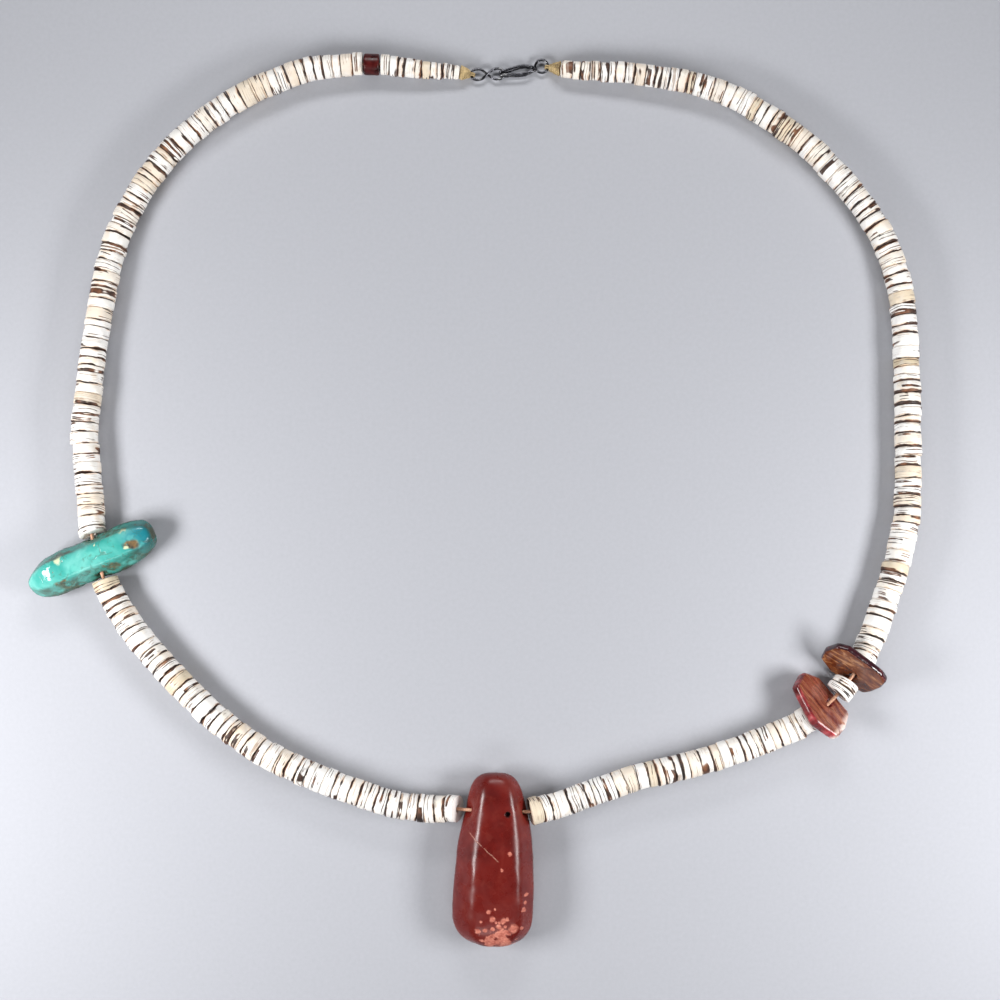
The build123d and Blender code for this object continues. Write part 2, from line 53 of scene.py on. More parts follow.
HEISHI = (
    "heishi_top_left",
    "heishi_left",
    "heishi_lower_left",
    "heishi_lower_right",
    "heishi_between_tabs",
    "heishi_right",
)

# Shell discs: their attributes and sides, how squarely a face looks along a disc to be part of
# its end, the rounded edge and its spread, and the small lumps and ripples of the skin
DISC_LAYERS = ("disc_place", "disc_layer", "disc_pick")
disc_sides = 20
end_facing = 0.9
disc_edge = 0.28 * mm
edge_spread = 0.25
rim_lumps = 0.012
face_ripple = 0.03 * mm

# How deep the brown coat of a disc's two faces reaches, in steps; below nought it shows in patches
LOW_COATS = (-1.5, -0.2, 0.6, 0.9, 1.2, 1.5)
HIGH_COATS = (-2.5, -1.2, -0.3, 0.3, 0.8)
bare_coat = -6.0
coat_step = 0.23 * mm
thick_coat = 2.0
thick_coat_share = 0.07

# Turquoise, in millimetres on the model: its blue end, its pits of brown matrix with their radius
# and the scale they are drawn with, and its cream flecks
nugget_turn = math.radians(-16)
BLUE_END = (-90.4, -10.0)
MATRIX_PITS = (
    ((-93.5, -12.5), 1.4, (0.7, 1.3)),
    ((-90.7, -15.9), 1.2, (0.8, 1.1)),
    ((-98.8, -18.4), 1.2, (0.55, 1.3)),
    ((-109.1, -24.1), 1.5, (0.4, 1.5)),
    ((-105.6, -24.4), 0.9, (0.6, 1.4)),
    ((-112.2, -23.4), 0.8, (0.6, 1.4)),
)
CREAM_FLECKS = (
    ((-96.0, -8.8), 0.75),
    ((-112.8, -16.9), 0.9),
    ((-94.5, -13.4), 0.55),
    ((-103.0, -12.5), 0.35),
)

# Pendant: the middle, radius and depth of the hole in its front, and its larger salmon specks
FRONT_PIT = (8.75 * mm, -85.5 * mm, 0.65 * mm, 1.1 * mm)
SALMON_SPECKS = (
    ((10.4, -116.3), 1.2),
    ((9.2, -95.9), 0.55),
    ((7.2, -100.2), 0.35),
    ((3.6, -111.5), 0.6),
    ((13.8, -107.5), 0.5),
    ((13.1, -111.5), 0.6),
    ((0.6, -117.0), 0.7),
    ((1.6, -114.2), 0.45),
    ((4.6, -113.4), 0.8),
    ((6.3, -115.6), 0.75),
    ((2.6, -116.6), 0.55),
    ((8.6, -113.6), 0.5),
    ((5.4, -110.7), 0.3),
    ((13.4, -109.6), 0.4),
    ((12.6, -116.4), 0.5),
    ((8.2, -117.2), 0.8),
)

# Tabs: the way each polished face looks, the way up it and the way along it
RED_TAB_FACE = (0.539, 0.457, 0.707)
RED_TAB_UP = (-0.539, -0.457, 0.707)
RED_TAB_LONG = (0.647, -0.763, 0.0)
BROWN_TAB_FACE = (-0.470, -0.683, 0.559)
BROWN_TAB_UP = (0.317, 0.461, 0.829)
BROWN_TAB_LONG = (0.824, -0.567, 0.0)

# The thread wound round the bound ends: its radius, the coil's radius at both ends, its turns,
# sides and steps a turn, the gap before it, and how uneven it is
winding_strand = 0.30 * mm
winding_wide = 1.86 * mm
winding_narrow = 1.02 * mm
winding_turns = 4
winding_sides = 8
winding_steps = 18
winding_seat = 0.35 * mm
winding_lumps = 0.05


# Finishes


def tone(red, green, blue):
    """A colour as it looks on screen, as light values."""
    return (*(c / 12.92 if c <= 0.04045 else ((c + 0.055) / 1.055) ** 2.4 for c in (red, green, blue)), 1)


class Finish:
    """One material, made by adding its nodes in order."""

    def __init__(self, name):
        self.material = bpy.data.materials.new(name)
        self.material.use_nodes = True
        self.tree = self.material.node_tree
        self.shader = self.tree.nodes["Principled BSDF"]

    def fill(self, socket, value):
        if isinstance(value, bpy.types.NodeSocket):
            self.tree.links.new(value, socket)
        else:
            socket.default_value = value

    def add(self, kind, output=0, settings=None, **inputs):
        made = self.tree.nodes.new("ShaderNode" + kind)
        for key, value in (settings or {}).items():
            setattr(made, key, value)
        for key, value in inputs.items():
            self.fill(made.inputs[key.replace("_", " ")], value)
        return made.outputs[output]

    def place(self):
        return self.add("TexCoord", "Object")

    def attribute(self, name):
        return self.add("Attribute", "Vector", {"attribute_name": name})

    def math(self, operation, first, second=0.0, clamp=False):
        made = self.tree.nodes.new("ShaderNodeMath")
        made.operation = operation
        made.use_clamp = clamp
        for socket, value in zip(made.inputs, (first, second)):
            self.fill(socket, value)
        return made.outputs[0]

    def plus(self, first, second, clamp=False):
        return self.math("ADD", first, second, clamp)

    def minus(self, first, second):
        return self.math("SUBTRACT", first, second)

    def times(self, first, second, clamp=False):
        return self.math("MULTIPLY", first, second, clamp)

    def most(self, *values):
        """The greatest of some values."""
        top = values[0]
        for value in values[1:]:
            top = self.math("MAXIMUM", top, value)
        return top

    def sway(self, pattern, size):
        """A pattern from 0 to 1 as a swing to both sides of nought."""
        return self.times(self.minus(pattern, 0.5), size)

    def vector(self, operation, first, second=(0, 0, 0), output=0):
        made = self.tree.nodes.new("ShaderNodeVectorMath")
        made.operation = operation
        self.fill(made.inputs[0], first)
        self.fill(made.inputs[1], second)
        return made.outputs[output]

    def along(self, vector, way):
        """How far a vector reaches along a direction."""
        return self.vector("DOT_PRODUCT", vector, way, output=1)

    def scaled(self, vector, factor):
        made = self.tree.nodes.new("ShaderNodeVectorMath")
        made.operation = "SCALE"
        self.fill(made.inputs[0], vector)
        self.fill(made.inputs["Scale"], factor)
        return made.outputs[0]

    def turned(self, vector, middle, turn):
        moved = self.vector("SUBTRACT", vector, middle)
        return self.add("Mapping", Vector=moved, Rotation=turn)

    def split(self, vector):
        made = self.tree.nodes.new("ShaderNodeSeparateXYZ")
        self.fill(made.inputs[0], vector)
        return made.outputs

    def noise(self, vector, scale, detail=3.0, roughness=0.5, distortion=0.0):
        return self.add(
            "TexNoise",
            Vector=vector,
            Scale=scale,
            Detail=detail,
            Roughness=roughness,
            Distortion=distortion,
        )

    def bent(self, vector, scale, detail, reach):
        """A place pushed about by a cloudy pattern, so that shapes drawn on it get ragged rims."""
        cloud = self.add("TexNoise", "Color", Vector=vector, Scale=scale, Detail=detail)
        push = self.vector("SUBTRACT", cloud, (0.5, 0.5, 0.5))
        return self.vector("ADD", vector, self.scaled(push, reach))

    def cells(self, vector, scale, feature="F1"):
        return self.add("TexVoronoi", "Distance", {"feature": feature}, Vector=vector, Scale=scale)

    def between(self, value, low, high, to_low=0.0, to_high=1.0):
        return self.add(
            "MapRange",
            settings={"interpolation_type": "SMOOTHSTEP"},
            Value=value,
            From_Min=low,
            From_Max=high,
            To_Min=to_low,
            To_Max=to_high,
        )

    def ramp(self, value, *stops):
        made = self.tree.nodes.new("ShaderNodeValToRGB")
        self.fill(made.inputs[0], value)
        points = made.color_ramp.elements
        while len(points) < len(stops):
            points.new(1)
        for point, (position, colour) in zip(points, stops):
            point.position = position
            point.color = colour
        return made.outputs[0]

    def mix(self, share, first, second):
        made = self.tree.nodes.new("ShaderNodeMix")
        made.data_type = "RGBA"
        for index, value in ((0, share), (6, first), (7, second)):
            self.fill(made.inputs[index], value)
        return made.outputs[2]

    def stained(self, colour, mask, strength, stain):
        """A colour with a stain laid over it where a mask is bright."""
        return self.mix(self.times(mask, strength), colour, stain)

    def relief(self, height, distance, strength):
        made = self.tree.nodes.new("ShaderNodeBump")
        made.inputs["Strength"].default_value = strength
        made.inputs["Distance"].default_value = distance
        self.fill(made.inputs["Height"], height)
        return made.outputs[0]

    def surface(self, **inputs):
        for key, value in inputs.items():
            self.fill(self.shader.inputs[key.replace("_", " ")], value)
        return self.material


def shell_finish():
    """White shell cut across its layers: brown coats at the faces, fine lines in the body."""
    look = Finish("layered_shell")
    place = look.attribute("disc_place")
    low, high, pick = look.split(look.attribute("disc_layer"))
    kind, coat_low, coat_high = look.split(look.attribute("disc_pick"))

    fine = look.noise(place, 1300, 2, 0.6)
    body = look.ramp(
        kind,
        (0.00, tone(0.98, 0.97, 0.955)),
        (0.62, tone(0.97, 0.955, 0.93)),
        (0.80, tone(0.96, 0.93, 0.885)),
        (0.90, tone(0.94, 0.89, 0.83)),
        (0.95, tone(0.93, 0.875, 0.80)),
        (0.985, tone(0.89, 0.83, 0.73)),
        (1.00, tone(0.80, 0.74, 0.63)),
    )
    cream_patch = look.between(look.noise(place, 190, 3), 0.54, 0.70)
    body = look.stained(body, cream_patch, 0.40, tone(0.93, 0.84, 0.72))
    grey_cloud = look.between(look.noise(place, 420, 2), 0.5, 0.75)
    body = look.stained(body, grey_cloud, 0.25, tone(0.84, 0.85, 0.87))

    drift = look.sway(look.noise(place, 170, 1, 0.4), 1.3 * mm)
    drift = look.plus(drift, look.sway(fine, 0.10 * mm))
    depth = look.plus(low, drift)

    def grown(scale, level, width, seed):
        """Lines that follow the layers where they grew, two or three in a disc."""
        spot = look.add("CombineXYZ", X=pick, Y=depth, Z=seed)
        layer = look.noise(spot, scale, 0)
        wide = look.between(look.noise(place, 330, 1), 0.30, 0.60, width * 0.35, width)
        gap = look.math("ABSOLUTE", look.minus(layer, level))
        return look.between(look.minus(wide, gap), 0, 0.012)

    hair = look.times(grown(1500, 0.52, 0.035, 0.2), look.between(look.noise(place, 200, 2), 0.44, 0.52))
    body = look.stained(body, hair, 0.65, tone(0.60, 0.48, 0.38))
    inner = look.times(grown(760, 0.47, 0.050, 0.7), look.between(look.noise(place, 130, 1), 0.48, 0.52))

    def coat(distance, width, offset):
        """How deep inside a face's brown coat a point lies; below nought it is out of it."""
        moved = look.vector("ADD", place, (offset, offset * 2, 0))
        reach = look.plus(look.times(width, coat_step), look.sway(look.noise(moved, 230, 2, 0.5), 1.6 * mm))
        return look.plus(look.minus(reach, distance), look.sway(fine, 0.12 * mm))

    near_low = coat(low, coat_low, 0.013)
    near_high = coat(high, coat_high, 0.037)
    dark = look.most(
        look.between(near_low, -0.03 * mm, 0.06 * mm),
        look.between(near_high, -0.03 * mm, 0.06 * mm),
        inner,
    )
    blush = look.most(
        look.between(near_low, -0.55 * mm, -0.10 * mm),
        look.between(near_high, -0.50 * mm, -0.10 * mm),
    )
    blush = look.times(blush, look.between(look.noise(place, 240, 2), 0.42, 0.58))
    body = look.stained(body, blush, 0.60, tone(0.91, 0.78, 0.65))

    coats = look.ramp(
        look.noise(place, 260, 3),
        (0.32, tone(0.13, 0.08, 0.06)),
        (0.52, tone(0.27, 0.17, 0.12)),
        (0.64, tone(0.47, 0.30, 0.20)),
        (0.80, tone(0.72, 0.52, 0.36)),
    )
    rough = look.between(look.noise(place, 700, 3), 0.3, 0.7, 0.30, 0.46)
    height = look.minus(look.times(fine, 0.35), look.times(dark, 0.8))
    height = look.minus(height, look.times(hair, 0.5))
    return look.surface(
        Base_Color=look.mix(dark, body, coats),
        Roughness=look.plus(rough, look.times(dark, 0.14), clamp=True),
        Normal=look.relief(height, 0.07 * mm, 0.7),
    )


def lighter(colour):
    """A colour lit a little more."""
    return (*(min(1.0, part * 1.35 + 0.03) for part in colour[:3]), 1)


def thread_finish(name, light, dark, scale):
    """Waxed thread: fine fibres, pale and brown along it."""
    look = Finish(name)
    place = look.place()
    fibre = look.noise(place, scale * 3, 4, 0.65, 0.8)
    patch = look.noise(place, scale * 0.5, 3)
    share = look.plus(look.times(fibre, 0.6), look.times(patch, 0.4))
    return look.surface(
        Base_Color=look.ramp(share, (0.34, dark), (0.52, light), (0.68, lighter(light))),
        Roughness=look.between(fibre, 0.3, 0.7, 0.62, 0.82),
        Normal=look.relief(fibre, 0.12 * mm, 0.8),
    )


def wire_finish():
    """Silver wire, blackened and rubbed brighter where hands touch it."""
    look = Finish("blackened_silver")
    place = look.place()
    patch = look.noise(place, 500, 3, 0.5)
    colour = look.ramp(
        patch,
        (0.35, tone(0.24, 0.24, 0.26)),
        (0.55, tone(0.34, 0.34, 0.36)),
        (0.75, tone(0.62, 0.62, 0.62)),
    )
    return look.surface(
        Base_Color=colour,
        Metallic=0.9,
        Roughness=look.between(patch, 0.3, 0.7, 0.10, 0.20),
        Normal=look.relief(look.noise(place, 2500, 2), 0.01 * mm, 0.4),
    )


def turquoise_finish():
    """Green turquoise with a blue end, brown matrix in pits and veins, and cream flecks; painted shade
    darkens its sides.
    """
    look = Finish("turquoise_stone")
    place = look.place()
    bent = look.bent(place, 330, 3.0, 3.6 * mm)
    slow = look.noise(place, 110, 4, 0.55, 0.5)
    colour = look.ramp(
        slow,
        (0.30, tone(0.20, 0.60, 0.56)),
        (0.45, tone(0.31, 0.67, 0.63)),
        (0.58, tone(0.42, 0.74, 0.70)),
        (0.74, tone(0.52, 0.81, 0.77)),
    )

    def blot(spot, size, blur, scale=(1, 1)):
        """A ragged spot in line with the stone, its middle and radius in millimetres."""
        offset = look.vector("SUBTRACT", bent, (spot[0] * mm, spot[1] * mm, 0))
        lined_up = look.add("Mapping", Vector=offset, Rotation=(0, 0, nugget_turn), Scale=(*scale, 0))
        reach = look.vector("LENGTH", lined_up, output=1)
        return look.between(reach, size * mm * (1 + blur), size * mm * (1 - blur))

    colour = look.stained(colour, blot(BLUE_END, 4.6, 0.7), 0.8, tone(0.02, 0.45, 0.53))
    pale = look.between(look.noise(bent, 210, 2), 0.56, 0.68)
    colour = look.stained(colour, pale, 0.30, tone(0.48, 0.84, 0.78))

    vein = look.between(look.cells(bent, 130, "DISTANCE_TO_EDGE"), 0.035, 0.008)
    vein = look.times(vein, look.between(look.noise(place, 190, 3), 0.47, 0.60))
    hair = look.between(look.cells(bent, 420, "DISTANCE_TO_EDGE"), 0.045, 0.01)
    hair = look.times(hair, look.between(look.noise(place, 300, 2), 0.52, 0.62))
    colour = look.stained(colour, hair, 0.45, tone(0.30, 0.42, 0.34))
    colour = look.stained(colour, vein, 0.45, tone(0.24, 0.33, 0.24))

    matrix = look.most(*(blot(spot, size, 0.45, scale) for spot, size, scale in MATRIX_PITS))
    matrix = look.times(matrix, look.between(look.noise(place, 700, 3), 0.36, 0.5))
    speck = look.between(look.cells(bent, 520), 0.16, 0.06)
    speck = look.times(speck, look.between(look.noise(place, 150, 2), 0.52, 0.64))
    matrix = look.most(matrix, speck)
    brown = look.ramp(
        look.noise(place, 800, 3),
        (0.35, tone(0.26, 0.17, 0.09)),
        (0.6, tone(0.52, 0.38, 0.20)),
        (0.8, tone(0.66, 0.55, 0.36)),
    )
    colour = look.stained(colour, matrix, 0.92, brown)
    cream = look.most(*(blot(spot, size, 0.4) for spot, size in CREAM_FLECKS))
    colour = look.stained(colour, cream, 0.85, tone(0.86, 0.88, 0.72))

    # Painted shade: where the surface turns away from the top, the sides are laid darker teal. A dark olive
    # band there is partly the stone's brown matrix and partly painted shade.
    _, _, up = look.split(look.add("NewGeometry", "Normal"))
    painted_side_shade = look.between(up, 0.85, 0.30)
    matrix_band_and_shade = look.times(painted_side_shade, look.between(look.noise(bent, 260, 4, 0.6), 0.46, 0.58))
    colour = look.stained(colour, painted_side_shade, 0.85, tone(0.07, 0.36, 0.32))
    colour = look.stained(colour, matrix_band_and_shade, 0.92, tone(0.24, 0.25, 0.17))
    low = look.most(matrix, look.times(vein, 0.6))
    height = look.minus(look.times(look.noise(place, 900, 3), 0.12), low)
    return look.surface(
        Base_Color=colour,
        Roughness=look.plus(look.between(slow, 0.3, 0.7, 0.11, 0.20), look.times(low, 0.3)),
        Normal=look.relief(height, 0.10 * mm, 0.7),
        Specular_IOR_Level=0.50,
    )


def pendant_finish():
    """Polished dark red stone with salmon specks gathered at its foot, and painted shade in the hole in its
    front.
    """
    look = Finish("dark_red_stone")
    place = look.place()
    _, _, z = look.split(place)
    colour = look.ramp(
        look.noise(place, 90, 4, 0.6, 0.6),
        (0.30, tone(0.33, 0.06, 0.05)),
        (0.50, tone(0.40, 0.09, 0.07)),
        (0.70, tone(0.46, 0.15, 0.12)),
    )
    cloud = look.between(look.noise(place, 380, 4, 0.7), 0.50, 0.72)
    colour = look.stained(colour, cloud, 0.35, tone(0.48, 0.19, 0.15))

    foot_middle = (6.0 * mm, -120.5 * mm, 0)
    spread = look.vector("MULTIPLY", look.vector("SUBTRACT", place, foot_middle), (1.05, 0.82, 0))
    foot = look.between(look.vector("LENGTH", spread, output=1), 7.8 * mm, 3.0 * mm)
    bent = look.bent(place, 700, 2.0, 1.1 * mm)
    field = look.noise(place, 230, 3, 0.6)
    crowd = look.plus(look.times(foot, 0.55), field)
    fleck = look.between(look.cells(bent, 620), 0.40, 0.26)
    fleck = look.times(fleck, look.between(crowd, 0.74, 0.84))
    big = look.between(look.cells(bent, 330), 0.34, 0.20)
    big = look.times(big, look.between(crowd, 0.78, 0.88))
    few = look.cells(look.vector("ADD", bent, (0.003, 0, 0.002)), 240)
    few = look.times(look.between(few, 0.055, 0.035), look.between(field, 0.48, 0.56))
    pool = look.plus(foot, look.times(look.noise(bent, 480, 3), 0.9))
    pool = look.between(pool, 1.36, 1.46)

    def blot(spot, size):
        """A ragged spot on the front and back, its middle and radius in millimetres."""
        offset = look.vector("SUBTRACT", bent, (spot[0] * mm, spot[1] * mm, 0))
        flat = look.vector("MULTIPLY", offset, (1, 1, 0))
        reach = look.vector("LENGTH", flat, output=1)
        return look.between(reach, size * mm * 1.3, size * mm * 0.7)

    salmon = look.most(fleck, big, few, pool, *(blot(spot, size) for spot, size in SALMON_SPECKS))
    grain = look.noise(place, 900, 4, 0.7)
    tint = look.ramp(
        grain,
        (0.35, tone(0.66, 0.32, 0.26)),
        (0.6, tone(0.85, 0.53, 0.45)),
        (0.8, tone(0.93, 0.70, 0.62)),
    )
    colour = look.stained(colour, salmon, 0.9, tint)

    front = look.between(z, 6.0 * mm, 7.5 * mm)
    line = look.turned(place, (2.3 * mm, -94.4 * mm, 0), (0, 0, math.radians(42)))
    along, across, _ = look.split(line)
    across = look.plus(across, look.sway(look.noise(place, 500, 2), 0.5 * mm))
    scratch = look.between(look.math("ABSOLUTE", across), 0.19 * mm, 0.07 * mm)
    scratch = look.times(scratch, look.between(look.math("ABSOLUTE", along), 5.6 * mm, 5.0 * mm))
    scratch = look.times(scratch, look.between(look.noise(place, 1200, 2), 0.36, 0.5))
    scratch = look.times(scratch, front)
    colour = look.stained(colour, scratch, 0.6, tone(0.75, 0.55, 0.48))

    pit_x, pit_y, _, _ = FRONT_PIT
    # Painted shade: the bowl round the front hole is painted near black red, standing in for the shade
    # inside the hole.
    pit_way = look.vector("MULTIPLY", look.vector("SUBTRACT", place, (pit_x, pit_y, 0)), (1, 1, 0))
    painted_pit_shade = look.between(look.vector("LENGTH", pit_way, output=1), 1.05 * mm, 0.45 * mm)
    painted_pit_shade = look.times(painted_pit_shade, front)
    colour = look.stained(colour, painted_pit_shade, 0.95, tone(0.10, 0.02, 0.02))
    rough = look.between(look.noise(place, 260, 3), 0.35, 0.7, 0.25, 0.36)
    height = look.minus(look.times(grain, 0.1), look.times(scratch, 0.9))
    height = look.minus(height, look.times(salmon, 0.3))
    return look.surface(
        Base_Color=colour,
        Roughness=look.plus(rough, look.times(look.most(salmon, painted_pit_shade), 0.3)),
        Normal=look.relief(height, 0.06 * mm, 0.7),
        Specular_IOR_Level=0.42,
    )


def middle_along(node, way):
    """How far along a direction the middle of a node lies."""
    low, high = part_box(node)
    return ((low + high) / 2).dot(Vector(way))


def striped_finish():
    """Banded red shell: fine brown and orange bands on the face, a rosy polished rim."""
    look = Finish("banded_red_shell")
    place = look.place()
    up = look.plus(look.along(place, RED_TAB_UP), look.sway(look.noise(place, 150, 2), 3.0 * mm))
    along = look.along(place, RED_TAB_LONG)
    stripe = look.noise(look.add("CombineXYZ", X=look.times(along, 0.05), Y=0.3, Z=up), 800, 2, 0.6)
    face = look.ramp(
        stripe,
        (0.30, tone(0.28, 0.10, 0.08)),
        (0.42, tone(0.42, 0.18, 0.14)),
        (0.50, tone(0.58, 0.33, 0.25)),
        (0.56, tone(0.34, 0.13, 0.08)),
        (0.66, tone(0.64, 0.40, 0.29)),
        (0.78, tone(0.40, 0.18, 0.12)),
    )
    rim = look.ramp(
        look.noise(look.add("CombineXYZ", X=along, Y=look.times(up, 2.5), Z=0.0), 330, 3),
        (0.36, tone(0.34, 0.08, 0.09)),
        (0.54, tone(0.52, 0.17, 0.18)),
        (0.66, tone(0.70, 0.28, 0.30)),
        (0.80, tone(0.90, 0.66, 0.62)),
    )
    facing = look.along(look.add("NewGeometry", "Normal"), RED_TAB_FACE)
    colour = look.mix(look.between(facing, 0.80, 0.95), rim, face)

    low_end = middle_along("red_shell_tab", RED_TAB_LONG) + 6.0 * mm
    _, _, z = look.split(place)
    tip = look.plus(look.between(along, low_end, low_end + 2.2 * mm), look.between(z, 3.2 * mm, 1.2 * mm))
    tip = look.times(tip, look.between(look.noise(place, 330, 2), 0.40, 0.56), clamp=True)
    tip = look.times(tip, look.between(along, low_end - 5.0 * mm, low_end - 2.0 * mm))
    return look.surface(
        Base_Color=look.stained(colour, tip, 0.85, tone(0.95, 0.86, 0.82)),
        Roughness=look.between(look.noise(place, 420, 3), 0.3, 0.7, 0.18, 0.34),
        Normal=look.relief(stripe, 0.08 * mm, 0.5),
        Coat_Weight=0.3,
        Coat_Roughness=0.1,
    )


def marbled_finish():
    """Brown shell: gold and brown clouds on the polished face, dark purple brown edges."""
    look = Finish("marbled_brown_shell")
    place = look.place()
    along = look.along(place, BROWN_TAB_LONG)
    up = look.along(place, BROWN_TAB_UP)
    drawn = look.add("CombineXYZ", X=look.times(along, 0.42), Y=0.1, Z=up)
    swirl = look.noise(drawn, 300, 3, 0.55, 1.6)
    face = look.ramp(
        swirl,
        (0.28, tone(0.22, 0.09, 0.06)),
        (0.42, tone(0.35, 0.16, 0.08)),
        (0.54, tone(0.47, 0.25, 0.13)),
        (0.62, tone(0.70, 0.49, 0.32)),
        (0.70, tone(0.38, 0.19, 0.10)),
        (0.84, tone(0.56, 0.36, 0.20)),
    )
    edge = look.ramp(
        look.noise(place, 500, 3),
        (0.35, tone(0.13, 0.04, 0.07)),
        (0.6, tone(0.26, 0.09, 0.12)),
        (0.8, tone(0.62, 0.42, 0.40)),
    )
    facing = look.along(look.add("NewGeometry", "Normal"), BROWN_TAB_FACE)
    return look.surface(
        Base_Color=look.mix(look.between(facing, 0.75, 0.93), edge, face),
        Roughness=look.between(look.noise(place, 420, 3), 0.3, 0.7, 0.13, 0.28),
        Normal=look.relief(swirl, 0.06 * mm, 0.5),
        Coat_Weight=0.4,
        Coat_Roughness=0.07,
    )


def red_bead_finish():
    """Dark maroon, softly polished, paler where it is worn."""
    look = Finish("dark_maroon_bead")
    place = look.place()
    patch = look.noise(place, 420, 4, 0.6)
    colour = look.ramp(
        patch,
        (0.32, tone(0.13, 0.01, 0.01)),
        (0.52, tone(0.24, 0.02, 0.02)),
        (0.72, tone(0.34, 0.06, 0.05)),
    )
    fleck = look.between(look.cells(place, 900), 0.14, 0.07)
    return look.surface(
        Base_Color=look.stained(colour, fleck, 0.4, tone(0.72, 0.50, 0.46)),
        Roughness=look.between(patch, 0.3, 0.7, 0.22, 0.42),
        Normal=look.relief(patch, 0.08 * mm, 0.6),
        Specular_IOR_Level=0.3,
    )


def floor_finish():
    """A plain pale grey surface with a faint grain."""
    look = Finish("pale_grey_paper")
    grain = look.noise(look.place(), 900, 3, 0.6)
    return look.surface(
        Base_Color=look.ramp(grain, (0.3, tone(0.670, 0.675, 0.700)), (0.7, tone(0.690, 0.695, 0.720))),
        Roughness=look.between(grain, 0.3, 0.7, 0.75, 0.9),
        Normal=look.relief(grain, 0.04 * mm, 0.3),
    )


# Pieces


def piece_from(bm, name, finish, node=None, slot=None):
    """A finished piece with its place in its mesh."""
    mesh = bpy.data.meshes.new(name)
    bm.to_mesh(mesh)
    bm.free()
    mesh.materials.append(finish)
    made = bpy.data.objects.new(name, mesh)
    bpy.context.scene.collection.objects.link(made)
    if slot:
        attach(made, "root")
    if node:
        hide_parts(node)
    return made


def merged_copy(node):
    """A node's own mesh with its triangles joined."""
    bm = bmesh.new()
    bm.from_mesh(nodes[node].data)
    bmesh.ops.remove_doubles(bm, verts=bm.verts, dist=1e-6)
    bmesh.ops.recalc_face_normals(bm, faces=bm.faces)
    return bm


def loose_parts(bm):
    """The separate solids of a mesh, in the order of their first vertex."""
    left = set(bm.verts)
    for first in bm.verts:
        if first not in left:
            continue
        part = [first]
        left.discard(first)
        for vert in part:
            for edge in vert.link_edges:
                other = edge.other_vert(vert)
                if other in left:
                    left.discard(other)
                    part.append(other)
        yield part


def measure_disc(part):
    """A disc's two end faces, radius and bore, read from its solid."""
    points = numpy.array([vert.co for vert in part])
    spread = numpy.linalg.eigh(numpy.cov((points - points.mean(0)).T))
    faces = {face for vert in part for face in vert.link_faces}

    def square_on(way):
        """The area that looks along a direction or square to it: greatest for the disc's own axis."""
        return sum(face.calc_area() for face in faces if not 0.25 < abs(face.normal.dot(way)) < end_facing)

    axis = max((Vector(spread[1][:, index]) for index in range(3)), key=square_on)
    ends = []
    for sign in (-1, 1):
        normal, middle, area = Vector(), Vector(), 0.0
        for face in faces:
            if face.normal.dot(axis) * sign > end_facing:
                size = face.calc_area()
                normal += face.normal * size
                middle += face.calc_center_median() * size
                area += size
        ends.append((middle / area, normal.normalized() * sign))
    axis = (ends[0][1] + ends[1][1]).normalized()
    centre = (ends[0][0] + ends[1][0]) / 2
    reaches = [(vert.co - centre - axis * (vert.co - centre).dot(axis)).length for vert in part]
    return {"ends": ends, "axis": axis, "centre": centre, "radius": max(reaches), "bore": min(reaches)}


def read_discs(node):
    """All the discs of a string, each pointing along it."""
    bm = merged_copy(node)
    discs = [measure_disc(part) for part in loose_parts(bm)]
    bm.free()
    for index, disc in enumerate(discs):
        near, far = (index, index + 1) if index + 1 < len(discs) else (index - 1, index)
        way = discs[far]["centre"] - discs[near]["centre"]
        if way.dot(disc["axis"]) < 0:
            disc["ends"] = [(point, -normal) for point, normal in reversed(disc["ends"])]
            disc["axis"] = -disc["axis"]
    return discs


